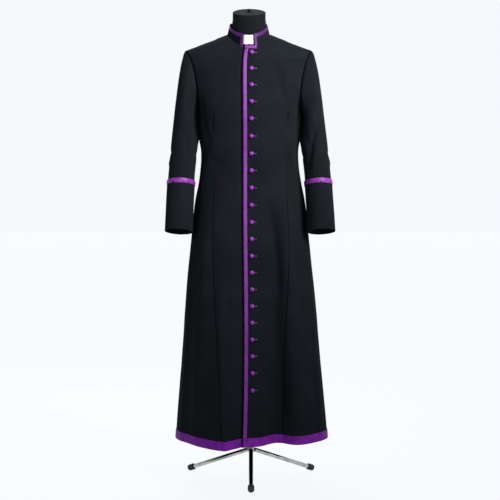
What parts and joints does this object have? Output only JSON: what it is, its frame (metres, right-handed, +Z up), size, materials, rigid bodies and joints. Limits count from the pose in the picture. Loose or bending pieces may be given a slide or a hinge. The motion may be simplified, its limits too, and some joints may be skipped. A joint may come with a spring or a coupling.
{
  "type": "cassock on dress form",
  "caption": "Long black cassock with a buttoned front, stand collar, turned cuffs and purple edging, worn by a limbless dress form on a pole stand with splayed legs.",
  "frame": {"origin": "centre of the whole part's box at floor level, on the bottoms of the stand's feet", "axes": "+Z up, the front of the garment towards -Y, the wearer's left towards +X"},
  "size_m": [0.5898, 0.506, 1.6473],
  "materials": {
    "black_cloth": "matte black twill with a faint sheen",
    "purple_trim": "satin",
    "white_tab": "smooth white",
    "form_cover": "matte black knit cover",
    "chrome": "polished",
    "rubber": "matte"
  },
  "bodies": {
    "root": {"front_left": "black_cloth", "front_right": "black_cloth", "side_front_left": "black_cloth", "side_front_right": "black_cloth", "back_left": "black_cloth", "back_right": "black_cloth", "upper_sleeve_left": "black_cloth", "upper_sleeve_right": "black_cloth", "under_sleeve_left": "black_cloth", "under_sleeve_right": "black_cloth", "cuff_left": "black_cloth", "cuff_right": "black_cloth", "collar": "black_cloth", "hem_band": "purple_trim", "front_piping": "purple_trim", "neck_piping": "purple_trim", "cuff_band_left": "purple_trim", "cuff_band_right": "purple_trim", "collar_binding": "purple_trim", "button_01": "purple_trim", "button_02": "purple_trim", "button_03": "purple_trim", "button_04": "purple_trim", "button_05": "purple_trim", "button_06": "purple_trim", "button_07": "purple_trim", "button_08": "purple_trim", "button_09": "purple_trim", "button_10": "purple_trim", "button_11": "purple_trim", "button_12": "purple_trim", "button_13": "purple_trim", "button_14": "purple_trim", "button_15": "purple_trim", "button_16": "purple_trim", "button_17": "purple_trim", "button_18": "purple_trim", "button_19": "purple_trim", "button_20": "purple_trim", "button_21": "purple_trim", "collar_tab": "white_tab", "form_torso": "form_cover", "form_neck": "form_cover", "form_stub": "form_cover", "pole": "chrome", "hub": "chrome", "leg_1": "chrome", "leg_2": "chrome", "leg_3": "chrome", "foot_1": "rubber", "foot_2": "rubber", "foot_3": "rubber"}
  },
  "joints": []
}
